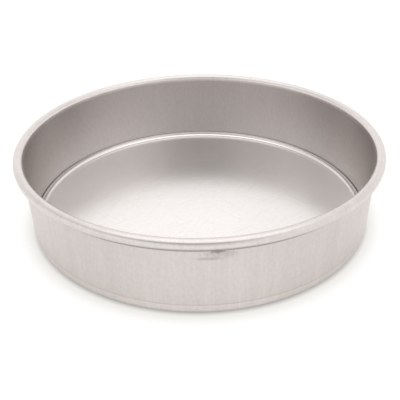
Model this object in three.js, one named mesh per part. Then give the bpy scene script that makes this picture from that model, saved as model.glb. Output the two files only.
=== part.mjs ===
// Round straight-sided cake pan with a loose base: a wall ring whose top edge is rolled round a wire and
// whose foot is turned in as a ledge, and a dished base plate that rests on the ledge and lifts out.
// Millimetres, +Z up. The origin is on the axis, in the plane of the ledge's underside.
import * as THREE from "three";

// Driving dimensions: the inside, which is what the pan is sold by
const INSIDE_DIAMETER = 228.6; // across the inside of the wall, where it meets the rolled rim
const INSIDE_DEPTH = 50.8; // from the floor up to the top of the rim
const WALL_DRAFT_DEG = 2.5; // how far the wall leans out from upright

// Driving dimensions: the wall ring
const WALL_SHEET = 1.3;
const CURL_GAP = 0.9; // slit between the rolled edge and the wall
const CORNER_RADIUS = 1.2; // inside of the bend where the wall turns in under the base
const FOOT_HEIGHT = 6.4; // height of the roller's mark round the foot
const FOOT_STEP = 0.2; // how far the foot is set in below that mark
const LEDGE_WIDTH = 9; // from the inside of the wall to the ledge's free edge

// Driving dimensions: the wire in the rim
const WIRE_DIAMETER = 3.1;
const WIRE_CLEARANCE = 0.3; // all round the wire, inside the roll
const WIRE_BUTT_GAP = 1; // between the two ends of the wire
const WIRE_BUTT_DEG = -84; // bearing of those ends, counted from +X towards +Y

// Driving dimensions: the loose base
const BASE_SHEET = 1.3;
const BASE_COVE = 3; // inside radius of the turned-up edge
const BASE_CLEARANCE = 0.3; // between that edge and the wall
const SEAT_CLEARANCE = 0.1; // between the base and the ledge that carries it

// How finely the round shapes are cut
const TURN_SEGMENTS = 72;
const ARC_STEP_DEG = 22; // largest step along a rounded stretch of a section
const WIRE_SIDES = 8;

const DOWN = -Math.PI / 2; // bearing of a section's level faces, seen from the centre of their bend
const draft = THREE.MathUtils.degToRad(WALL_DRAFT_DEG);

// Heights
const seatHeight = WALL_SHEET + SEAT_CLEARANCE;
const rimTop = seatHeight + BASE_SHEET + INSIDE_DEPTH;

// The rolled rim: the wall's inside face runs over the top of the roll and its outside face lines the core
const coreRadius = WIRE_DIAMETER / 2 + WIRE_CLEARANCE;
const rollRadius = coreRadius + WALL_SHEET;
const roll = new THREE.Vector2(INSIDE_DIAMETER / 2 + rollRadius * Math.cos(draft), rimTop - rollRadius);
const rollStart = Math.PI - draft;
const rollEnd = Math.acos((coreRadius - CURL_GAP) / rollRadius) - Math.PI - draft;

// Radius of the wall's faces at a height
const insideRadius = (z) => INSIDE_DIAMETER / 2 - (roll.y + rollRadius * Math.sin(draft) - z) * Math.tan(draft);
const outsideRadius = (z) => insideRadius(z) + WALL_SHEET / Math.cos(draft);
const footRadius = (z) => outsideRadius(z) - FOOT_STEP / Math.cos(draft);

// Centre of an arc that runs from a level face into a wall face on its outer side
function cornerCentre(wallRadius, level, radius) {
  const z = level + radius;
  return new THREE.Vector2(wallRadius(z) - radius / Math.cos(draft), z);
}

// Points of an arc in a section, both ends included
function arc(centre, radius, from, to) {
  const steps = Math.ceil(THREE.MathUtils.radToDeg(Math.abs(to - from)) / ARC_STEP_DEG);
  const points = [];
  for (let i = 0; i <= steps; i++) {
    const angle = from + ((to - from) * i) / steps;
    points.push(new THREE.Vector2(Math.cos(angle), Math.sin(angle)).multiplyScalar(radius).add(centre));
  }
  return points;
}

// A section of radius and height, turned round the upright axis
function turned(section) {
  return new THREE.LatheGeometry(section, TURN_SEGMENTS).rotateX(Math.PI / 2);
}

// Circular path of the rim's wire, from one butted end round to the other
class WirePath extends THREE.Curve {
  getPoint(t, target = new THREE.Vector3()) {
    const halfGap = WIRE_BUTT_GAP / 2 / roll.x;
    const start = THREE.MathUtils.degToRad(WIRE_BUTT_DEG) + halfGap;
    const angle = start + t * 2 * (Math.PI - halfGap);
    return target.set(roll.x * Math.cos(angle), roll.x * Math.sin(angle), 0);
  }
}

function aluminium(color, roughness) {
  return new THREE.MeshStandardMaterial({ color, roughness, metalness: 1 });
}

// Wall ring: up the outside, round the core of the roll, back over the top, down the inside, along the ledge
function makeSideRing() {
  const bend = CORNER_RADIUS + WALL_SHEET;
  const foot = cornerCentre(footRadius, 0, bend);
  const corner = cornerCentre(insideRadius, WALL_SHEET, CORNER_RADIUS);
  const ledgeEdge = insideRadius(WALL_SHEET) - LEDGE_WIDTH;
  const section = [
    new THREE.Vector2(ledgeEdge, 0),
    ...arc(foot, bend, DOWN, -draft),
    new THREE.Vector2(footRadius(FOOT_HEIGHT), FOOT_HEIGHT),
    new THREE.Vector2(outsideRadius(FOOT_HEIGHT + FOOT_STEP), FOOT_HEIGHT + FOOT_STEP),
    ...arc(roll, coreRadius, rollStart, rollEnd),
    ...arc(roll, rollRadius, rollEnd, rollStart),
    ...arc(corner, CORNER_RADIUS, -draft, DOWN),
    new THREE.Vector2(ledgeEdge, WALL_SHEET),
    new THREE.Vector2(ledgeEdge, 0),
  ];
  const mesh = new THREE.Mesh(turned(section), aluminium(0xcdc7c2, 0.4));
  mesh.name = "side_ring";
  return mesh;
}

// Steel wire that stiffens the rolled rim
function makeRimWire() {
  const section = new THREE.Shape().absarc(0, 0, WIRE_DIAMETER / 2, 0, 2 * Math.PI);
  const geometry = new THREE.ExtrudeGeometry(section, {
    steps: TURN_SEGMENTS,
    curveSegments: WIRE_SIDES / 2,
    bevelEnabled: false,
    extrudePath: new WirePath(),
  });
  const steel = new THREE.MeshStandardMaterial({ color: 0x8d8f92, roughness: 0.5, metalness: 1 });
  const mesh = new THREE.Mesh(geometry, steel);
  mesh.name = "rim_wire";
  mesh.position.z = roll.y;
  return mesh;
}

// Loose base: a flat disc whose edge turns up beside the wall, no tighter than the ring's own corner
function makeBasePlate() {
  const bend = Math.max(BASE_COVE + BASE_SHEET, CORNER_RADIUS);
  const edgeRadius = (z) => insideRadius(seatHeight + z) - BASE_CLEARANCE / Math.cos(draft);
  const centre = cornerCentre(edgeRadius, 0, bend);
  const section = [
    new THREE.Vector2(0, 0),
    ...arc(centre, bend, DOWN, -draft),
    ...arc(centre, bend - BASE_SHEET, -draft, DOWN),
    new THREE.Vector2(0, BASE_SHEET),
  ];
  const mesh = new THREE.Mesh(turned(section), aluminium(0xd6d1cc, 0.32));
  mesh.name = "base_plate";
  mesh.position.z = seatHeight;
  return mesh;
}

const ring = new THREE.Group();
ring.add(makeSideRing(), makeRimWire());

const pan = new THREE.Group();
pan.add(ring, makeBasePlate());

export default pan;
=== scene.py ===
"""Looks of a round cake pan with a loose base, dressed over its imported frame.

Each piece of the pan is modelled again here at full smoothness, in the place that the frame gives it, and
stands for its node there. Procedural finishes, a pale studio and the camera complete the picture.
"""

import logging
import math
from collections.abc import Callable
from dataclasses import dataclass
from enum import Enum

import bpy
from mathutils import Matrix, Vector

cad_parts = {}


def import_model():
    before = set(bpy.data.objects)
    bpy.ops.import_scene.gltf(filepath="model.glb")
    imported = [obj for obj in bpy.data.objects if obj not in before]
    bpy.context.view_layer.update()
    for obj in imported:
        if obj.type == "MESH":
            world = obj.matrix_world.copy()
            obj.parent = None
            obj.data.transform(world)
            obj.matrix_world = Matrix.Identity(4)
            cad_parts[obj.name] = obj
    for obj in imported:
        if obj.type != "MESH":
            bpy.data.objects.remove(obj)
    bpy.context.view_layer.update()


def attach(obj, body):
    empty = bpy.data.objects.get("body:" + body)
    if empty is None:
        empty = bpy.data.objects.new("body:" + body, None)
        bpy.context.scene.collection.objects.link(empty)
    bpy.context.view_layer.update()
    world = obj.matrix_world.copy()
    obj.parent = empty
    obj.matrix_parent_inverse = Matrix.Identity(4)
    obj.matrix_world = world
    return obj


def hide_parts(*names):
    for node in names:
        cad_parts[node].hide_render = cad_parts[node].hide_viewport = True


LOG = logging.getLogger("cake_pan")

Point = tuple[float, float]
Triple = tuple[float, float, float]
Colour = tuple[float, float, float, float]
Socket = bpy.types.NodeSocket

WHITE: Colour = (1.0, 1.0, 1.0, 1.0)
ACROSS: Triple = (1.0, 1.0, 0.0)  # drops the height from a place
RISING: Point = (0.0, 1.0)
FALLING: Point = (1.0, 0.0)
NOISE_SPAN: Point = (0.25, 0.75)  # nearly all of what noise gives
NOISE_CORE: Point = (0.3, 0.7)  # most of it


class Body(Enum):
    """Bodies of the frame that pieces ride on."""

    RING = "ring"
    BASE = "base"


class Slot(Enum):
    """Material slots of the record."""

    RING = "ring_aluminium"
    BASE = "base_aluminium"
    WIRE = "wire_steel"


# Section of the pan


@dataclass(frozen=True)
class PanSection:
    """Sizes that more than one piece follows, in metres and radians."""

    inside_radius: float = 0.1143
    rim_top: float = 0.0535
    draft: float = math.radians(2.5)
    sheet: float = 0.0013
    roll_radius: float = 0.00315
    seat_height: float = 0.0014

    @property
    def roll_centre(self) -> Point:
        """Gives the radius and height of the middle of the rolled rim."""
        radius = self.inside_radius + self.roll_radius * math.cos(self.draft)
        return (radius, self.rim_top - self.roll_radius)

    def inside(self, height: float) -> float:
        """Gives the radius of the wall's inside face at a height above what the pan stands on."""
        top = self.roll_centre[1] + self.roll_radius * math.sin(self.draft)
        return self.inside_radius - (top - height) * math.tan(self.draft)

    def middle(self, height: float) -> float:
        """Gives the radius half way through the wall's sheet at a height."""
        return self.inside(height) + self.sheet / 2 / math.cos(self.draft)


def arc(centre: Point, radius: float, start: float, end: float, step: float) -> list[Point]:
    """Lays points along an arc of a section.

    Args:
        centre: Radius and height of the arc's centre.
        radius: The arc's own radius.
        start: Bearing of the first point, in radians.
        end: Bearing of the last point.
        step: Largest turn between two points.

    Returns:
        The points, both ends included.
    """
    count = math.ceil(abs(end - start) / step)
    turns = [start + (end - start) * i / count for i in range(count + 1)]
    return [(centre[0] + radius * math.cos(t), centre[1] + radius * math.sin(t)) for t in turns]


# Modelling


class Bench:
    """Workbench that holds one piece while edit operators shape it."""

    merge_reach: float = 1e-7
    sharp: float = math.radians(60)
    smooth: float = math.radians(40)

    def __init__(self, name: str, mesh_maker: Callable[[], object]) -> None:
        """Starts a piece from a primitive.

        Args:
            name: Name of the piece.
            mesh_maker: Adds the primitive at its size and place.
        """
        bpy.ops.object.select_all(action="DESELECT")
        mesh_maker()
        self.piece: bpy.types.Object = bpy.context.object
        self.piece.name = self.piece.data.name = name
        bpy.ops.object.transform_apply(location=True, rotation=True, scale=True)
        bpy.ops.object.mode_set(mode="EDIT")
        bpy.ops.mesh.select_mode(type="VERT")
        bpy.ops.mesh.select_all(action="SELECT")

    def pick(self, test: Callable[[Vector], bool]) -> None:
        """Selects the vertices that pass a test, and what lies between them.

        Args:
            test: Says whether a vertex at this place is wanted.
        """
        bpy.ops.object.mode_set(mode="OBJECT")
        mesh = self.piece.data
        for part in (*mesh.polygons, *mesh.edges):
            part.select = False
        for vertex in mesh.vertices:
            vertex.select = test(vertex.co)
        bpy.ops.object.mode_set(mode="EDIT")

    def trace(self, section: list[Point]) -> None:
        """Extrudes the selected loop along a section.

        Args:
            section: Radius and height of each point, from the loop's own to the last.
        """
        for (radius, height), (next_radius, next_height) in zip(section, section[1:]):
            bpy.ops.mesh.extrude_edges_move(TRANSFORM_OT_translate={"value": (0, 0, next_height - height)})
            self.swell(next_radius / radius)

    def swell(self, factor: float) -> None:
        """Scales what is selected across the axis."""
        bpy.ops.transform.resize(value=(factor, factor, 1), center_override=(0, 0, 0))

    def face(self, height: float, towards: Callable[[Vector], Vector]) -> None:
        """Turns all faces to one side of the sheet.

        Args:
            height: Faces near this height are looked at.
            towards: Gives the wanted direction at a place.
        """
        bpy.ops.mesh.select_all(action="SELECT")
        bpy.ops.mesh.remove_doubles(threshold=self.merge_reach)
        bpy.ops.mesh.normals_make_consistent(inside=False)
        bpy.ops.object.mode_set(mode="OBJECT")
        near = min(self.piece.data.polygons, key=lambda face: abs(face.center.z - height))
        turned = near.normal.dot(towards(near.center)) < 0
        bpy.ops.object.mode_set(mode="EDIT")
        bpy.ops.mesh.select_all(action="SELECT")
        if turned:
            bpy.ops.mesh.flip_normals()

    def apply(self, kind: str, **settings: object) -> None:
        """Adds a modifier and applies it.

        Args:
            kind: Blender's name of the modifier.
            settings: Its settings.
        """
        bpy.ops.object.mode_set(mode="OBJECT")
        modifier = self.piece.modifiers.new(kind.lower(), kind)
        for name, value in settings.items():
            setattr(modifier, name, value)
        bpy.ops.object.modifier_apply(modifier=modifier.name)
        bpy.ops.object.mode_set(mode="EDIT")

    def thicken(self, sheet: float) -> None:
        """Gives the traced face its sheet thickness, on its back."""
        self.apply("SOLIDIFY", thickness=sheet, offset=-1, use_even_offset=True, use_quality_normals=True)

    def done(self, edge: float) -> bpy.types.Object:
        """Breaks the sharp edges, smooths the shading and takes the piece off the bench.

        Args:
            edge: Width of the broken edges.

        Returns:
            The finished piece.
        """
        self.apply("BEVEL", width=edge, segments=2, limit_method="ANGLE", angle_limit=self.sharp)
        bpy.ops.object.mode_set(mode="OBJECT")
        bpy.ops.object.shade_smooth_by_angle(angle=self.smooth)
        bpy.ops.object.select_all(action="DESELECT")
        return self.piece


def turned_sheet(name: str, segments: int, path: list[Point]) -> Bench:
    """Starts a turned piece as a circle and traces the face of its section.

    Args:
        name: Name of the piece.
        segments: Steps round the circle.
        path: Radius and height of the points along the face.

    Returns:
        The bench with the traced face.
    """
    radius, height = path[0]
    place = (0, 0, height)
    bench = Bench(
        name,
        lambda: bpy.ops.mesh.primitive_circle_add(vertices=segments, radius=radius, location=place),
    )
    bench.trace(path)
    return bench


# Shader nodes


def either_way(amount: float) -> Point:
    """Gives the ends of a span that goes as far below 0 as above it."""
    return (-amount, amount)


class NodeBench:
    """Adds nodes to one shader tree and links them."""

    def __init__(self, tree: bpy.types.NodeTree) -> None:
        """Takes the tree that the nodes go into."""
        self.tree = tree

    def add(self, kind: str, **settings: object) -> bpy.types.Node:
        """Adds a node and sets its properties.

        Args:
            kind: Blender's name of the node.
            settings: Its properties.

        Returns:
            The node.
        """
        node = self.tree.nodes.new(kind)
        for name, value in settings.items():
            setattr(node, name, value)
        return node

    def feed(self, socket: Socket, value: object) -> None:
        """Links an output into a socket, or sets the socket's own value.

        Args:
            socket: Input of a node.
            value: Output to link, or the value to set.
        """
        if isinstance(value, bpy.types.NodeSocket):
            self.tree.links.new(value, socket)
        else:
            socket.default_value = value

    def fill(self, node: bpy.types.Node, values: dict[str | int, object]) -> None:
        """Feeds several inputs of a node, by their names or numbers."""
        for key, value in values.items():
            self.feed(node.inputs[key], value)

    def math(self, operation: str, first: object, second: object = 0.0, clamp: bool = False) -> Socket:
        """Works on one or two numbers.

        Args:
            operation: Blender's name of the operation.
            first: Number or output.
            second: Number or output.
            clamp: Keeps the result between 0 and 1.

        Returns:
            The result's output.
        """
        node = self.add("ShaderNodeMath", operation=operation, use_clamp=clamp)
        self.fill(node, {0: first, 1: second})
        return node.outputs[0]

    def hypot(self, first: object, second: object) -> Socket:
        """Gives the distance that two sides at a right angle span."""
        squares = [self.math("MULTIPLY", side, side) for side in (first, second)]
        return self.math("SQRT", self.math("ADD", *squares))

    def vector(self, operation: str, first: object, second: object = None, output: str = "Vector") -> Socket:
        """Works on one or two vectors.

        Args:
            operation: Blender's name of the operation.
            first: Vector or output.
            second: Vector or output, where the operation has two, or the scale of SCALE.
            output: Name of the wanted output.

        Returns:
            The result's output.
        """
        node = self.add("ShaderNodeVectorMath", operation=operation)
        self.feed(node.inputs[0], first)
        if second is not None:
            self.feed(node.inputs["Scale" if operation == "SCALE" else 1], second)
        return node.outputs[output]

    def span(self, value: object, limits: Point, results: Point = RISING) -> Socket:
        """Maps a range of a value onto another, easing at both ends and holding beyond them.

        Args:
            value: Number or output.
            limits: Where the range starts and ends.
            results: Result at its start and at its end.

        Returns:
            The result's output.
        """
        node = self.add("ShaderNodeMapRange", interpolation_type="SMOOTHSTEP")
        self.fill(node, {"Value": value, "From Min": limits[0], "From Max": limits[1]})
        self.fill(node, {"To Min": results[0], "To Max": results[1]})
        return node.outputs["Result"]

    def band(self, value: object, rise: Point, fall: Point) -> Socket:
        """Gives 1 between a rise and a fall over a value, and 0 beyond them."""
        return self.math("MULTIPLY", self.span(value, rise), self.span(value, fall, FALLING))

    def noise(self, place: object, scale: object, detail: float = 2.0, roughness: float = 0.5) -> Socket:
        """Gives noise at a place.

        Args:
            place: Output with the coordinates.
            scale: Cells in a metre of those coordinates.
            detail: Number of finer layers.
            roughness: Strength of each finer layer.

        Returns:
            The noise, from about 0.25 to 0.75.
        """
        node = self.add("ShaderNodeTexNoise", noise_dimensions="3D")
        self.fill(node, {"Vector": place, "Scale": scale, "Detail": detail, "Roughness": roughness})
        return node.outputs["Fac"]

    def sway(self, noise: object, results: Point, limits: Point = NOISE_CORE) -> Socket:
        """Spreads noise from one result to another."""
        return self.span(noise, limits, results)

    def blend(self, share: object, first: object, second: object) -> Socket:
        """Goes from one colour to another by a share.

        Args:
            share: Number or output, 0 for the first colour and 1 for the second.
            first: Colour or output.
            second: Colour or output.

        Returns:
            The mixed colour's output.
        """
        node = self.add("ShaderNodeMix", data_type="RGBA")
        self.fill(node, {0: share, 6: first, 7: second})
        return node.outputs[2]

    def between(self, share: object, first: object, second: object) -> Socket:
        """Goes from one number to another by a share.

        Args:
            share: Number or output, 0 for the first number and 1 for the second.
            first: Number or output.
            second: Number or output.

        Returns:
            The mixed number's output.
        """
        node = self.add("ShaderNodeMix", data_type="FLOAT")
        self.fill(node, {0: share, 2: first, 3: second})
        return node.outputs[0]

    def place(self) -> Socket:
        """Gives the place on the piece, in metres."""
        return self.add("ShaderNodeTexCoord").outputs["Object"]

    def split(self, vector: Socket) -> bpy.types.NodeOutputs:
        """Takes a vector apart.

        Args:
            vector: The vector's output.

        Returns:
            Its outputs X, Y and Z.
        """
        node = self.add("ShaderNodeSeparateXYZ")
        self.feed(node.inputs[0], vector)
        return node.outputs

    def radius(self, place: Socket) -> Socket:
        """Gives how far a place is from the axis."""
        return self.vector("LENGTH", self.vector("MULTIPLY", place, ACROSS), output="Value")

    def outward(self, place: Socket) -> Socket:
        """Gives the way out from the axis at a place, of length 1."""
        return self.vector("NORMALIZE", self.vector("MULTIPLY", place, ACROSS))


class SharedEffect:
    """Surface effect that several finishes use, kept as one node group."""

    name: str = ""
    inputs: dict[str, tuple[str, object]] = {}
    output: str = "Value"

    def lay(self, nodes: NodeBench, **values: object) -> Socket:
        """Places the effect in a material.

        Args:
            nodes: Bench of the material.
            values: Values of its inputs, by their names with underscores for spaces.

        Returns:
            The effect's output.
        """
        tree = bpy.data.node_groups.get(self.name) or self._make()
        node = nodes.add("ShaderNodeGroup", node_tree=tree)
        nodes.fill(node, {name.replace("_", " ").title(): value for name, value in values.items()})
        return node.outputs[self.output]

    def _make(self) -> bpy.types.NodeTree:
        """Makes the group's sockets and nodes.

        Returns:
            The group.
        """
        tree = bpy.data.node_groups.new(self.name, "ShaderNodeTree")
        for name, (kind, value) in self.inputs.items():
            socket = tree.interface.new_socket(name, in_out="INPUT", socket_type=kind)
            socket.default_value = value
        tree.interface.new_socket(self.output, in_out="OUTPUT", socket_type="NodeSocketFloat")
        nodes = NodeBench(tree)
        entry = nodes.add("NodeGroupInput")
        nodes.feed(nodes.add("NodeGroupOutput").inputs[self.output], self.draw(nodes, entry.outputs))
        return tree

    def draw(self, nodes: NodeBench, entry: bpy.types.NodeOutputs) -> Socket:
        """Lays the effect's nodes.

        Args:
            nodes: Bench of the group's tree.
            entry: The group's inputs.

        Returns:
            The effect's value.
        """
        raise NotImplementedError


class DrawLines(SharedEffect):
    """Lines that drawing the sheet leaves up a round wall."""

    name = "draw lines"
    inputs = {
        "Lines": ("NodeSocketFloat", 60.0),
        "Along": ("NodeSocketFloat", 10.0),
        "Seed": ("NodeSocketFloat", 0.0),
    }

    def draw(self, nodes: NodeBench, entry: bpy.types.NodeOutputs) -> Socket:
        """Lays noise on the bearing round the axis, stretched up the wall.

        Args:
            nodes: Bench of the group's tree.
            entry: The group's inputs.

        Returns:
            The lines.
        """
        place = nodes.place()
        bearing = nodes.vector("SCALE", nodes.outward(place), entry["Lines"])
        rise = nodes.math("MULTIPLY", nodes.split(place)["Z"], entry["Along"])
        upright = nodes.add("ShaderNodeCombineXYZ")
        nodes.feed(upright.inputs["Z"], nodes.math("ADD", rise, entry["Seed"]))
        drawn = nodes.vector("ADD", bearing, upright.outputs[0])
        return nodes.noise(drawn, 1.0, detail=3.0, roughness=0.55)


class SatinGrain(SharedEffect):
    """Fine grain of rolled sheet, stretched along one direction."""

    name = "satin grain"
    inputs = {
        "Stretch": ("NodeSocketVector", (1.0, 1.0, 1.0)),
        "Scale": ("NodeSocketFloat", 800.0),
    }

    def draw(self, nodes: NodeBench, entry: bpy.types.NodeOutputs) -> Socket:
        """Lays stretched noise on the place."""
        stretched = nodes.vector("MULTIPLY", nodes.place(), entry["Stretch"])
        return nodes.noise(stretched, entry["Scale"], detail=3.0, roughness=0.6)


class Cloudiness(SharedEffect):
    """Soft uneven patches left by use and washing."""

    name = "cloudiness"
    inputs = {
        "Scale": ("NodeSocketFloat", 15.0),
        "Offset": ("NodeSocketVector", (0.0, 0.0, 0.0)),
    }

    def draw(self, nodes: NodeBench, entry: bpy.types.NodeOutputs) -> Socket:
        """Lays broad noise on the place."""
        moved = nodes.vector("ADD", nodes.place(), entry["Offset"])
        return nodes.noise(moved, entry["Scale"], detail=2.0, roughness=0.45)


class WallMark(SharedEffect):
    """Soft-edged mark on the wall, at one bearing and height."""

    name = "wall mark"
    inputs = {
        "Along": ("NodeSocketVector", (1.0, 0.0, 0.0)),
        "Outward": ("NodeSocketVector", (0.0, -1.0, 0.0)),
        "Height": ("NodeSocketFloat", 0.04),
        "Half Length": ("NodeSocketFloat", 0.006),
        "Half Height": ("NodeSocketFloat", 0.001),
        "Ragged": ("NodeSocketFloat", 0.3),
    }
    rag_scale: float = 700.0
    rag_reach: float = 4.0
    fade: Point = (0.35, 1.25)
    near_side: float = 0.05

    def draw(self, nodes: NodeBench, entry: bpy.types.NodeOutputs) -> Socket:
        """Lays an oval that fades outwards and has a ragged edge.

        Args:
            nodes: Bench of the group's tree.
            entry: The group's inputs.

        Returns:
            The mark's mask.
        """
        place = nodes.place()
        shift = nodes.vector("DOT_PRODUCT", place, entry["Along"], "Value")
        rise = nodes.math("SUBTRACT", nodes.split(place)["Z"], entry["Height"])
        along = nodes.math("DIVIDE", shift, entry["Half Length"])
        reach = nodes.hypot(along, nodes.math("DIVIDE", rise, entry["Half Height"]))
        noise = nodes.math("SUBTRACT", nodes.noise(place, self.rag_scale, roughness=0.6), 0.5)
        rag = nodes.math("MULTIPLY", nodes.math("MULTIPLY", noise, entry["Ragged"]), self.rag_reach)
        mask = nodes.span(nodes.math("ADD", reach, rag), self.fade, FALLING)
        out = nodes.vector("DOT_PRODUCT", place, entry["Outward"], "Value")
        return nodes.math("MULTIPLY", mask, nodes.math("GREATER_THAN", out, self.near_side))


# Finishes


def new_material(name: str) -> tuple[bpy.types.Material, NodeBench, bpy.types.Node]:
    """Starts a metal finish.

    Args:
        name: Name of the material.

    Returns:
        The material, a bench on its tree, and its metal shader.
    """
    material = bpy.data.materials.new(name)
    material.use_nodes = True
    shader = material.node_tree.nodes["Principled BSDF"]
    shader.inputs["Metallic"].default_value = 1.0
    return material, NodeBench(material.node_tree), shader


@dataclass(frozen=True)
class Relief:
    """Fine bump of a finish: its strength, and its depth in metres."""

    strength: float
    depth: float

    def lay(self, nodes: NodeBench, shader: bpy.types.Node, height: Socket) -> None:
        """Bumps a shader's normal.

        Args:
            nodes: Bench of the material.
            shader: The material's shader.
            height: Output that the bump follows.
        """
        bump = nodes.add("ShaderNodeBump")
        bump.inputs["Strength"].default_value = self.strength
        bump.inputs["Distance"].default_value = self.depth
        nodes.feed(bump.inputs["Height"], height)
        nodes.feed(shader.inputs["Normal"], bump.outputs["Normal"])


@dataclass(frozen=True)
class LineSet:
    """One set of draw lines: how close they lie, how fast they change up the wall, and where they start."""

    lines: float
    along: float
    seed: float

    def lay(self, nodes: NodeBench) -> Socket:
        """Gives the lines in a material."""
        return DrawLines().lay(nodes, lines=self.lines, along=self.along, seed=self.seed)


@dataclass(frozen=True)
class Blemish:
    """One mark on the wall, in degrees and metres."""

    bearing: float
    height: float
    half_length: float
    half_height: float
    strength: float
    ragged: float = 0.3

    def mask(self, nodes: NodeBench) -> Socket:
        """Gives the mark's mask, at its strength.

        Args:
            nodes: Bench of the material that shows the mark.

        Returns:
            The mask's output.
        """
        turn = math.radians(self.bearing)
        full = WallMark().lay(
            nodes,
            along=(-math.sin(turn), math.cos(turn), 0.0),
            outward=(math.cos(turn), math.sin(turn), 0.0),
            height=self.height,
            half_length=self.half_length,
            half_height=self.half_height,
            ragged=self.ragged,
        )
        return nodes.math("MULTIPLY", full, self.strength)


@dataclass(frozen=True)
class WallZones:
    """Masks that tell the wall ring's faces apart, as outputs of one material's nodes."""

    outside: Socket
    rim: Socket
    foot: Socket
    foot_line: Socket
    crevice: Socket
    rim_highlight: Socket


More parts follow.
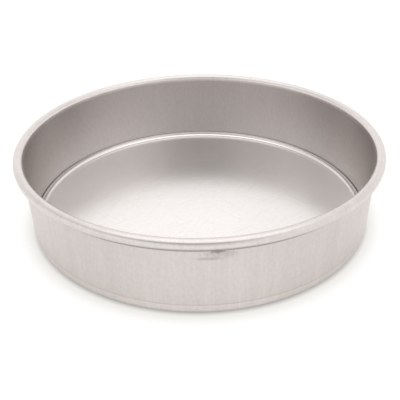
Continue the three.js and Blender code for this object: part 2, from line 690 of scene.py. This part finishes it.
@dataclass(frozen=True)
class DrawnAluminium:
    """Finish of the wall ring: satin sheet with draw lines, painted shade where the rim and the foot turn.
    """

    inside_colour: Colour = (0.622, 0.586, 0.576, 1.0)
    outside_colour: Colour = (0.668, 0.621, 0.597, 1.0)
    rim_colour: Colour = (0.7, 0.654, 0.635, 1.0)
    # painted highlight: a lighter band on the inside at the top of the wall, below the rim
    rim_highlight_colour: Colour = (0.8, 0.755, 0.735, 1.0)
    foot_colour: Colour = (0.73, 0.68, 0.65, 1.0)
    # dark colour shared by the marks and by the painted shade under the roll and at the foot's step
    soil_and_shade: Colour = (0.28, 0.25, 0.245, 1.0)
    edge_tint: Colour = (0.97, 0.955, 0.945, 1.0)
    inside_roughness: float = 0.31
    outside_roughness: float = 0.42
    rim_roughness: float = 0.32
    foot_roughness: float = 0.38
    line_sheen: float = 0.012
    patch_sheen: float = 0.02
    anisotropy: float = 0.4
    anisotropy_turn: float = 0.25
    fine_set: LineSet = LineSet(150.0, 9.0, 3.0)
    broad_set: LineSet = LineSet(16.0, 5.0, 11.0)
    fine_lines: float = 0.03
    broad_lines: float = 0.06
    inside_lines: float = 0.35
    mottle: float = 0.08
    relief: Relief = Relief(0.02, 0.0002)
    tooth_share: float = 0.4
    face_blend: Point = (-0.0002, 0.0002)
    rim_blend: Point = (0.0032, 0.0034)
    foot_height: float = 0.0065
    foot_blend: float = 0.0002
    # painted shadow line along the foot's small step, darker than the step alone shades it
    foot_line: Point = (0.0001, 0.0007)
    foot_line_shade: float = 0.3
    # painted shade on the outside wall just under the rolled rim, where the roll shades the wall
    crevice_heights: tuple[Point, Point] = ((0.0437, 0.0444), (0.0475, 0.0485))
    crevice_reach: Point = (0.0018, 0.0024)
    crevice_shade: float = 0.78
    # heights of the painted highlight band inside the rim
    rim_highlight_heights: tuple[Point, Point] = ((0.0486, 0.0502), (0.0515, 0.0528))
    marks: tuple[Blemish, ...] = (
        Blemish(-85.9, 0.0443, 0.0052, 0.0022, 0.95),
        Blemish(-84.6, 0.0425, 0.0110, 0.0035, 0.3, 0.5),
        Blemish(-87.8, 0.0393, 0.0092, 0.0013, 0.38, 0.15),
    )

    def make(self, section: PanSection) -> bpy.types.Material:
        """Makes the material.

        Args:
            section: Section that tells the wall's faces apart.

        Returns:
            The material.
        """
        material, nodes, shader = new_material("drawn_aluminium")
        zones = self._zones(nodes, section)
        fine = self.fine_set.lay(nodes)
        broad = self.broad_set.lay(nodes)
        nodes.feed(shader.inputs["Base Color"], self._tint(nodes, zones, fine, broad))
        nodes.feed(shader.inputs["Roughness"], self._sheen(nodes, zones, broad))
        shader.inputs["Anisotropic"].default_value = self.anisotropy
        shader.inputs["Anisotropic Rotation"].default_value = self.anisotropy_turn
        shader.inputs["Specular Tint"].default_value = self.edge_tint
        tooth = SatinGrain().lay(nodes, stretch=(1.0, 1.0, 0.25), scale=2600.0)
        self.relief.lay(nodes, shader, nodes.between(self.tooth_share, fine, tooth))
        return material

    def _zones(self, nodes: NodeBench, section: PanSection) -> WallZones:
        """Finds the wall's faces by radius and height.

        Args:
            nodes: Bench of the material.
            section: Section of the pan.

        Returns:
            The masks.
        """
        place = nodes.place()
        height = nodes.split(place)["Z"]
        radius = nodes.radius(place)
        lean = nodes.math("MULTIPLY", height, math.tan(section.draft))
        over = nodes.math("SUBTRACT", radius, nodes.math("ADD", lean, section.middle(0.0)))
        outside = nodes.span(over, self.face_blend)
        inside = nodes.math("SUBTRACT", 1.0, outside)
        roll_radius, roll_height = section.roll_centre
        across = nodes.math("SUBTRACT", radius, roll_radius)
        reach = nodes.hypot(across, nodes.math("SUBTRACT", height, roll_height))
        below = nodes.span(height, (self.foot_height - self.foot_blend, self.foot_height), FALLING)
        # mask of the painted shadow line at the foot's step
        off_line = nodes.math("ABSOLUTE", nodes.math("SUBTRACT", height, self.foot_height))
        on_line = nodes.span(off_line, self.foot_line, FALLING)
        # mask of the painted shade just under the roll
        near_wall = nodes.span(over, self.crevice_reach, FALLING)
        under_roll = nodes.math("MULTIPLY", near_wall, nodes.band(height, *self.crevice_heights))
        return WallZones(
            outside=outside,
            rim=nodes.span(reach, self.rim_blend, FALLING),
            foot=nodes.math("MULTIPLY", outside, below),
            foot_line=nodes.math("MULTIPLY", outside, on_line),
            crevice=nodes.math("MULTIPLY", outside, under_roll),
            rim_highlight=nodes.math("MULTIPLY", inside, nodes.band(height, *self.rim_highlight_heights)),
        )

    def _tint(self, nodes: NodeBench, zones: WallZones, fine: Socket, broad: Socket) -> Socket:
        """Lays the sheet's colours, draw lines, marks, painted shade and a painted highlight.

        Args:
            nodes: Bench of the material.
            zones: Masks of the wall's faces.
            fine: Fine draw lines.
            broad: Broad draw lines.

        Returns:
            The colour's output.
        """
        sheet = nodes.blend(zones.outside, self.inside_colour, self.outside_colour)
        sheet = nodes.blend(zones.foot, sheet, self.foot_colour)
        sheet = nodes.blend(zones.rim, sheet, self.rim_colour)
        # painted highlight inside, just below the rim
        sheet = nodes.blend(zones.rim_highlight, sheet, self.rim_highlight_colour)
        lines = nodes.math(
            "ADD",
            nodes.sway(fine, either_way(self.fine_lines / 2), NOISE_SPAN),
            nodes.sway(broad, either_way(self.broad_lines / 2), NOISE_SPAN),
        )
        lines = nodes.math("MULTIPLY", lines, nodes.between(zones.outside, self.inside_lines, 1.0))
        speckle = SatinGrain().lay(nodes, stretch=(1.0, 1.0, 0.6), scale=600.0)
        tone = nodes.math("ADD", lines, nodes.sway(speckle, either_way(self.mottle / 2), NOISE_SPAN))
        sheet = nodes.vector("SCALE", sheet, nodes.math("ADD", tone, 1.0))
        # the marks, with painted shade under the roll and a painted shadow line along the foot's step
        soil_and_shade = nodes.math(
            "MAXIMUM",
            nodes.math("MULTIPLY", zones.foot_line, self.foot_line_shade),
            nodes.math("MULTIPLY", zones.crevice, self.crevice_shade),
        )
        for blemish in self.marks:
            shown = nodes.math("MULTIPLY", blemish.mask(nodes), zones.outside)
            soil_and_shade = nodes.math("MAXIMUM", soil_and_shade, shown)
        return nodes.blend(soil_and_shade, sheet, self.soil_and_shade)

    def _sheen(self, nodes: NodeBench, zones: WallZones, broad: Socket) -> Socket:
        """Lays the sheet's roughness, uneven along the draw lines and in soft patches.

        Args:
            nodes: Bench of the material.
            zones: Masks of the wall's faces.
            broad: Broad draw lines.

        Returns:
            The roughness's output.
        """
        rough = nodes.between(zones.outside, self.inside_roughness, self.outside_roughness)
        rough = nodes.between(zones.foot, rough, self.foot_roughness)
        rough = nodes.between(zones.rim, rough, self.rim_roughness)
        patches = Cloudiness().lay(nodes, scale=22.0, offset=(0.3, 0.1, 0.7))
        uneven = nodes.math(
            "ADD",
            nodes.sway(broad, either_way(self.line_sheen)),
            nodes.sway(patches, either_way(self.patch_sheen)),
        )
        return nodes.math("ADD", rough, uneven, clamp=True)


@dataclass(frozen=True)
class FloorAluminium:
    """Finish of the loose base: smooth satin sheet with fine scratches, darker on its turned-up edge."""

    colour: Colour = (0.84, 0.805, 0.781, 1.0)
    edge_colour: Colour = (0.8, 0.767, 0.745, 1.0)
    # painted shade: the top of the turned-up edge, beside the gap at the wall, is darker
    lip_colour: Colour = (0.78, 0.745, 0.725, 1.0)
    edge_blend: Point = (0.1074, 0.1084)
    lip_blend: Point = (0.0051, 0.0055)
    roughness: float = 0.255
    edge_roughness: float = 0.2
    patch_sheen: Point = (-0.02, 0.01)
    tooth_sheen: float = 0.006
    patch_tone: Point = (0.975, 1.015)
    mill_lines: float = 0.006
    mottle: float = 0.05
    scratch_bearings: tuple[float, ...] = (35.0, 62.0, -48.0)
    scratch_stretch: Triple = (25.0, 1.0, 1.0)
    scratch_scale: float = 900.0
    scratch_blend: Point = (0.66, 0.74)
    scratch_depth: float = 0.05
    relief: Relief = Relief(0.02, 0.0001)

    def make(self) -> bpy.types.Material:
        """Makes the material.

        Returns:
            The material.
        """
        material, nodes, shader = new_material("floor_aluminium")
        place = nodes.place()
        edge = nodes.span(nodes.radius(place), self.edge_blend)
        lip = nodes.span(nodes.split(place)["Z"], self.lip_blend)
        patches = Cloudiness().lay(nodes, scale=14.0, offset=(0.5, 0.2, 0.0))
        tooth = SatinGrain().lay(nodes, scale=1800.0)
        floor = nodes.vector("SCALE", self.colour[:3], self._tone(nodes, place, patches))
        sheet = nodes.blend(edge, floor, self.edge_colour)
        # painted shade on the top of the turned-up edge
        nodes.feed(shader.inputs["Base Color"], nodes.blend(lip, sheet, self.lip_colour))
        uneven = nodes.math(
            "ADD",
            nodes.sway(patches, self.patch_sheen),
            nodes.sway(tooth, either_way(self.tooth_sheen)),
        )
        rough = nodes.between(edge, self.roughness, self.edge_roughness)
        nodes.feed(shader.inputs["Roughness"], nodes.math("ADD", rough, uneven, clamp=True))
        self.relief.lay(nodes, shader, tooth)
        return material

    def _tone(self, nodes: NodeBench, place: Socket, patches: Socket) -> Socket:
        """Lays the floor's unevenness: mill lines, patches, speckle and scratches.

        Args:
            nodes: Bench of the material.
            place: Place on the floor.
            patches: Soft patches.

        Returns:
            The number that the floor's colour is multiplied by.
        """
        mill = SatinGrain().lay(nodes, stretch=(0.06, 1.0, 1.0), scale=1600.0)
        speckle = SatinGrain().lay(nodes, scale=620.0)
        tone = nodes.math(
            "ADD",
            nodes.sway(mill, either_way(self.mill_lines)),
            nodes.sway(patches, self.patch_tone),
        )
        tone = nodes.math("ADD", tone, nodes.sway(speckle, either_way(self.mottle / 2), NOISE_SPAN))
        return nodes.math("SUBTRACT", tone, self._scratches(nodes, place))

    def _scratches(self, nodes: NodeBench, place: Socket) -> Socket:
        """Lays fine scratches that cross the floor at a few bearings.

        Args:
            nodes: Bench of the material.
            place: Place on the floor.

        Returns:
            How much the scratches darken the sheet.
        """
        depth = 0.0
        for bearing in self.scratch_bearings:
            turned = nodes.add("ShaderNodeMapping", vector_type="TEXTURE")
            nodes.feed(turned.inputs["Vector"], place)
            turned.inputs["Rotation"].default_value = (0.0, 0.0, math.radians(bearing))
            turned.inputs["Scale"].default_value = self.scratch_stretch
            lines = nodes.noise(turned.outputs[0], self.scratch_scale + bearing, detail=1.0)
            cut = nodes.span(lines, self.scratch_blend, (0.0, self.scratch_depth))
            depth = nodes.math("MAXIMUM", depth, cut)
        return depth


@dataclass(frozen=True)
class WireSteel:
    """Finish of the rim's wire: dull drawn steel with a few darker spots."""

    colour: Colour = (0.42, 0.42, 0.43, 1.0)
    spots: Colour = (0.16, 0.14, 0.12, 1.0)
    spot_blend: Point = (0.56, 0.72)
    spot_strength: float = 0.7
    roughness: Point = (0.37, 0.53)
    relief: Relief = Relief(0.1, 0.0001)

    def make(self) -> bpy.types.Material:
        """Makes the material.

        Returns:
            The material.
        """
        material, nodes, shader = new_material("wire_steel")
        clouds = Cloudiness().lay(nodes, scale=160.0)
        spot = nodes.span(clouds, self.spot_blend, (0.0, self.spot_strength))
        nodes.feed(shader.inputs["Base Color"], nodes.blend(spot, self.colour, self.spots))
        tooth = SatinGrain().lay(nodes, scale=1500.0)
        nodes.feed(shader.inputs["Roughness"], nodes.sway(tooth, self.roughness))
        self.relief.lay(nodes, shader, tooth)
        return material


def hand_over(
    piece: bpy.types.Object,
    material: bpy.types.Material,
    node: str,
    body: Body,
) -> None:
    """Dresses a piece and puts it in its node's place.

    Args:
        piece: The finished piece.
        material: Its finish.
        node: Node of the frame that it stands for.
        body: Body that it moves with.
    """
    piece.data.materials.clear()
    piece.data.materials.append(material)
    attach(piece, body.value)
    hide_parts(node)
    faces = len(piece.data.polygons)
    LOG.info("%s: %d faces, stands for %s, rides on %s", piece.name, faces, node, body.value)


# Pieces of the pan


@dataclass
class WallRing:
    """Wall of the pan: one sheet, turned in at the foot and rolled outwards at the rim."""

    section: PanSection
    finish: DrawnAluminium
    segments: int = 288
    corner_radius: float = 0.0012
    ledge_width: float = 0.009
    curl_gap: float = 0.0009
    foot_height: float = 0.0064
    foot_step: float = 0.0002
    foot_margin: float = 0.00005
    underside_share: float = 0.9
    edge: float = 0.00025
    ledge_rings: tuple[float, ...] = (0.0, 0.0006, 0.003, 0.006)
    low_rings: tuple[float, ...] = (0.003, 0.0042)
    mark_rings: tuple[float, ...] = (-0.0012, -0.0003, 0.0)
    mark_margin: float = 0.0003
    over_mark: float = 0.0082
    even_start: float = 0.011
    even_step: float = 0.003
    even_count: int = 13
    high_rings: tuple[float, ...] = (0.0494, 0.0501)
    corner_turn: float = math.radians(11)
    roll_turn: float = math.radians(8)
    facing_height: float = 0.025

    def rises(self) -> list[float]:
        """Gives the heights of the wall's rings, closest round the roller's mark.

        Returns:
            The heights, from low to high.
        """
        lean = self.section.sheet * math.sin(self.section.draft)
        around = (*self.mark_rings, self.foot_step, self.foot_step + self.mark_margin)
        mark = [self.foot_height + offset + lean for offset in around]
        even = [self.even_start + self.even_step * i for i in range(self.even_count)]
        return [*self.low_rings, *mark, self.over_mark, *even, *self.high_rings]

    def path(self) -> list[Point]:
        """Gives the section's inside face, from the ledge's free edge up and over the roll.

        Returns:
            Radius and height of its points.
        """
        pan = self.section
        corner_height = pan.sheet + self.corner_radius
        corner = (pan.inside(corner_height) - self.corner_radius / math.cos(pan.draft), corner_height)
        ledge_edge = pan.inside(pan.sheet) - self.ledge_width
        ledge = [(ledge_edge + offset, pan.sheet) for offset in self.ledge_rings]
        bend = arc(corner, self.corner_radius, -math.pi / 2, -pan.draft, self.corner_turn)
        wall = [(pan.inside(height), height) for height in self.rises()]
        core = pan.roll_radius - pan.sheet
        roll_end = math.acos((core - self.curl_gap) / pan.roll_radius) - math.pi - pan.draft
        roll = arc(pan.roll_centre, pan.roll_radius, math.pi - pan.draft, roll_end, self.roll_turn)
        return ledge + bend + wall + roll

    def build(self) -> bpy.types.Object:
        """Models the ring and dresses it.

        Returns:
            The finished piece.
        """
        bench = turned_sheet("wall_ring", self.segments, self.path())
        bench.face(self.facing_height, lambda place: Vector((-place.x, -place.y, 0)))
        bench.thicken(self.section.sheet)
        self._set_foot_in(bench)
        piece = bench.done(self.edge)
        hand_over(piece, self.finish.make(self.section), "side_ring", Body.RING)
        return piece

    def _set_foot_in(self, bench: Bench) -> None:
        """Draws the outside of the foot in, below the roller's mark.

        Args:
            bench: Bench that holds the ring.
        """
        pan = self.section
        top = self.foot_height + self.foot_margin

        def on_foot(place: Vector) -> bool:
            """Says whether a vertex at a place is on the outside of the foot.

            Args:
                place: Place of the vertex.

            Returns:
                Whether it is.
            """
            radius = math.hypot(place.x, place.y)
            if place.z >= top or radius <= pan.inside(place.z) - self.corner_radius:
                return False
            return radius > pan.middle(place.z) or place.z < pan.sheet * self.underside_share

        bench.pick(on_foot)
        bench.swell(1 - self.foot_step / (pan.inside(top) + pan.sheet))


@dataclass
class RimWire:
    """Steel wire inside the rolled rim, its two ends butted."""

    section: PanSection
    finish: WireSteel
    diameter: float = 0.0031
    sides: int = 20
    steps: int = 216
    butt_gap: float = 0.001
    butt_bearing: float = math.radians(-84)
    edge: float = 0.0002

    def build(self) -> bpy.types.Object:
        """Models the wire and dresses it.

        Returns:
            The finished piece.
        """
        radius, height = self.section.roll_centre
        half_gap = self.butt_gap / 2 / radius
        start = self.butt_bearing - half_gap
        bench = Bench(
            "rim_wire_loop",
            lambda: bpy.ops.mesh.primitive_circle_add(
                vertices=self.sides,
                radius=self.diameter / 2,
                fill_type="NGON",
                location=(radius * math.cos(start), radius * math.sin(start), height),
                rotation=(math.pi / 2, 0, start),
            ),
        )
        turn = 2 * (math.pi - half_gap)
        bpy.ops.mesh.spin(steps=self.steps, angle=turn, center=(0, 0, 0), axis=(0, 0, 1))
        bpy.ops.mesh.select_all(action="SELECT")
        bpy.ops.mesh.normals_make_consistent(inside=False)
        piece = bench.done(self.edge)
        hand_over(piece, self.finish.make(), "rim_wire", Body.RING)
        return piece


@dataclass
class LooseBase:
    """Base that lifts out: a flat disc whose edge turns up beside the wall."""

    section: PanSection
    finish: FloorAluminium
    segments: int = 288
    sheet: float = 0.0013
    cove: float = 0.003
    clearance: float = 0.0003
    edge: float = 0.0003
    cove_turn: float = math.radians(6)
    edge_rings: tuple[float, ...] = (0.0004, 0.0012, 0.003)
    floor_rings: tuple[float, ...] = (0.1, 0.09, 0.075, 0.06, 0.045, 0.03, 0.015, 0.004)

    def path(self) -> list[Point]:
        """Gives the section's upper face, from the turned-up edge to the middle.

        Returns:
            Radius and height of its points.
        """
        pan = self.section
        bend = self.cove + self.sheet
        height = pan.seat_height + bend
        reach = pan.inside(height) - self.clearance / math.cos(pan.draft)
        centre = (reach - bend / math.cos(pan.draft), height)
        cove = arc(centre, self.cove, -pan.draft, -math.pi / 2, self.cove_turn)
        floor = pan.seat_height + self.sheet
        rings = [*(centre[0] - offset for offset in self.edge_rings), *self.floor_rings]
        return cove + [(radius, floor) for radius in rings]

    def build(self) -> bpy.types.Object:
        """Models the base and dresses it.

        Returns:
            The finished piece.
        """
        bench = turned_sheet("loose_base", self.segments, self.path())
        bpy.ops.mesh.edge_face_add()
        bench.face(self.section.seat_height + self.sheet, lambda place: Vector((0, 0, 1)))
        bench.thicken(self.sheet)
        piece = bench.done(self.edge)
        hand_over(piece, self.finish.make(), "base_plate", Body.BASE)
        return piece


# Studio


@dataclass(frozen=True)
class Studio:
    """Pale table under a soft lamp, in a room that is dimmer on the camera's side.

    The room's levels go by the bearing from the back, in degrees to the right. The table's shades go by the
    distance from the pan's foot.
    """

    table_size: float = 12.0
    table_cuts: int = 3
    table_place: Triple = (0.0, 0.0, -0.00005)
    table_colour: Colour = (0.25, 0.248, 0.244, 1.0)
    table_glow: float = 0.75
    corner_span: Point = (0.2, 0.5)
    corner_level: float = 0.9
    pan_radius: float = 0.1125
    # painted contact shade: the table's glow is dimmed and warmed close to the pan's foot
    close_span: Point = (-0.0007, 0.0033)
    close_level: float = 0.6
    wide_span: Point = (0.0005, 0.011)
    wide_level: float = 0.86
    near_span: Point = (0.0, 0.012)
    painted_shade_tint: Colour = (1.0, 0.975, 0.935, 1.0)
    lamp_place: Triple = (0.0, -0.1, 1.6)
    lamp_size: float = 0.8
    lamp_power: float = 10.0
    low_room: tuple[Point, ...] = (
        (-180, 0.85), (-145, 1.2), (-105, 1.15), (-75, 0.95), (-25, 1.2), (0, 1.1),
        (45, 1.15), (85, 1.0), (120, 1.1), (145, 1.1), (180, 0.85),
    )
    high_room: tuple[Point, ...] = (
        (-180, 0.4), (-165, 0.35), (-145, 0.55), (-105, 0.85), (-75, 0.8), (-45, 1.0), (0, 1.2),
        (30, 1.0), (85, 1.0), (120, 1.05), (145, 0.8), (165, 0.4), (180, 0.4),
    )
    brightest: float = 2.0
    ceiling: float = 1.46
    high_span: Point = (0.34, 0.5)
    ceiling_span: Point = (0.766, 0.883)

    def build(self) -> None:
        """Lays the table and lights the room."""
        self._lay_table()
        self._hang_lamp()
        self._light_room()
        bpy.context.scene.view_settings.view_transform = "Standard"

    def _lay_table(self) -> None:
        """Lays the table as part of the stage."""
        bench = Bench(
            "table",
            lambda: bpy.ops.mesh.primitive_plane_add(size=self.table_size, location=self.table_place),
        )
        bpy.ops.mesh.subdivide(number_cuts=self.table_cuts)
        bpy.ops.object.mode_set(mode="OBJECT")
        bpy.ops.object.select_all(action="DESELECT")
        table = bench.piece
        table.data.materials.append(self._table_finish())
        LOG.info("table laid")

    def _table_finish(self) -> bpy.types.Material:
        """Makes the table's finish, whose glow keeps it white round the pan's shadow, with painted shade at
        the foot.

        Returns:
            The material.
        """
        material = bpy.data.materials.new("white_table")
        material.use_nodes = True
        material.node_tree.nodes.clear()
        nodes = NodeBench(material.node_tree)
        matt = nodes.add("ShaderNodeBsdfDiffuse")
        matt.inputs["Color"].default_value = self.table_colour
        glow = nodes.add("ShaderNodeEmission")
        # painted contact shade: glow dimmed close to the pan's foot and tinted warm near it
        away = nodes.math("SUBTRACT", nodes.radius(nodes.place()), self.pan_radius)
        close = nodes.span(away, self.close_span, (self.close_level, 1.0))
        wide = nodes.span(away, self.wide_span, (self.wide_level, 1.0))
        open_table = nodes.math("MULTIPLY", nodes.math("MULTIPLY", close, wide), self.table_glow)
        nodes.feed(glow.inputs["Strength"], nodes.math("MULTIPLY", self._table_seen(nodes), open_table))
        far = nodes.span(away, self.near_span)
        nodes.feed(glow.inputs["Color"], nodes.blend(far, self.painted_shade_tint, WHITE))
        both = nodes.add("ShaderNodeAddShader")
        nodes.fill(both, {0: matt.outputs[0], 1: glow.outputs[0]})
        nodes.feed(nodes.add("ShaderNodeOutputMaterial").inputs["Surface"], both.outputs[0])
        return material

    def _table_seen(self, nodes: NodeBench) -> Socket:
        """Says which rays see the table's glow: the camera's in full, and the metal's dimmer aslant.

        Args:
            nodes: Bench of the table's material.

        Returns:
            The share of the glow that a ray sees.
        """
        path = nodes.add("ShaderNodeLightPath").outputs
        mirrored = nodes.math("MAXIMUM", path["Is Glossy Ray"], path["Is Transmission Ray"])
        bearing = nodes.split(nodes.outward(nodes.place()))
        aslant = nodes.math("ABSOLUTE", nodes.math("MULTIPLY", bearing["X"], bearing["Y"]))
        dimmed = nodes.span(aslant, self.corner_span, (1.0, self.corner_level))
        return nodes.math("MAXIMUM", path["Is Camera Ray"], nodes.math("MULTIPLY", mirrored, dimmed))

    def _hang_lamp(self) -> None:
        """Hangs the soft lamp that casts the pan's shadow and stays out of its reflections."""
        data = bpy.data.lights.new("soft_lamp", "AREA")
        data.shape = "DISK"
        data.size = self.lamp_size
        data.energy = self.lamp_power
        lamp = bpy.data.objects.new("soft_lamp", data)
        bpy.context.scene.collection.objects.link(lamp)
        lamp.location = self.lamp_place
        lamp.visible_glossy = False
        LOG.info("lamp hung")

    def _light_room(self) -> None:
        """Makes the room that the metal shows, by the bearing round the pan and the height."""
        world = bpy.data.worlds.new("studio")
        bpy.context.scene.world = world
        world.use_nodes = True
        world.node_tree.nodes.clear()
        nodes = NodeBench(world.node_tree)
        way = nodes.split(nodes.add("ShaderNodeTexCoord").outputs["Generated"])
        bearing = nodes.math("ARCTAN2", way["X"], way["Y"])
        share = nodes.math("ADD", nodes.math("DIVIDE", bearing, 2 * math.pi), 0.5)
        low = self._wall_levels(nodes, share, self.low_room)
        high = self._wall_levels(nodes, share, self.high_room)
        walls = nodes.between(nodes.span(way["Z"], self.high_span), low, high)
        level = nodes.between(nodes.span(way["Z"], self.ceiling_span), walls, self.ceiling)
        path = nodes.add("ShaderNodeLightPath")
        sky = nodes.add("ShaderNodeBackground")
        nodes.feed(sky.inputs["Strength"], nodes.between(path.outputs["Is Camera Ray"], level, 1.0))
        sky.inputs["Color"].default_value = WHITE
        nodes.feed(nodes.add("ShaderNodeOutputWorld").inputs["Surface"], sky.outputs[0])
        LOG.info("room lit")

    def _wall_levels(self, nodes: NodeBench, share: Socket, levels: tuple[Point, ...]) -> Socket:
        """Gives the level of the room's walls round the pan.

        Args:
            nodes: Bench of the world.
            share: Share of the turn round the pan, from the front, past the left and the back, to the front.
            levels: Bearings from the back, in degrees to the right, with the level at each.

        Returns:
            The level's output.
        """
        walls = nodes.add("ShaderNodeValToRGB")
        stops = walls.color_ramp.elements
        while len(stops) < len(levels):
            stops.new(0.5)
        for stop, (bearing, level) in zip(stops, levels):
            stop.position = bearing / 360 + 0.5
            stop.color = (level / self.brightest,) * 3 + (1.0,)
        nodes.feed(walls.inputs["Fac"], share)
        return nodes.math("MULTIPLY", walls.outputs["Color"], self.brightest)


@dataclass(frozen=True)
class PhotoCamera:
    """Camera at the photograph's viewing angle, in metres, millimetres of lens and degrees."""

    place: Triple = (-0.001605, -0.397101, 0.246651)
    pitch: float = 31.258
    yaw: float = -0.226
    roll: float = -0.960
    lens: float = 59.822
    sensor: float = 36.0
    nearest: float = 0.01

    def build(self) -> None:
        """Sets the camera up as the scene's own."""
        data = bpy.data.cameras.new("photo_camera")
        data.sensor_fit = "HORIZONTAL"
        data.sensor_width = self.sensor
        data.lens = self.lens
        data.clip_start = self.nearest
        camera = bpy.data.objects.new("photo_camera", data)
        bpy.context.scene.collection.objects.link(camera)
        turns = ((self.yaw, "Z"), (90 - self.pitch, "X"), (self.roll, "Z"))
        matrix = Matrix.Translation(self.place)
        for degrees, axis in turns:
            matrix = matrix @ Matrix.Rotation(math.radians(degrees), 4, axis)
        camera.matrix_world = matrix
        bpy.context.scene.camera = camera
        LOG.info("camera set")


def main() -> None:
    """Builds the pan over its frame, then the studio and the camera."""
    logging.basicConfig(level=logging.INFO, format="%(name)s: %(message)s")
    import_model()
    PhotoCamera().build()
    section = PanSection()
    WallRing(section, DrawnAluminium()).build()
    RimWire(section, WireSteel()).build()
    LooseBase(section, FloorAluminium()).build()
    Studio().build()


if __name__ == "__main__":
    main()
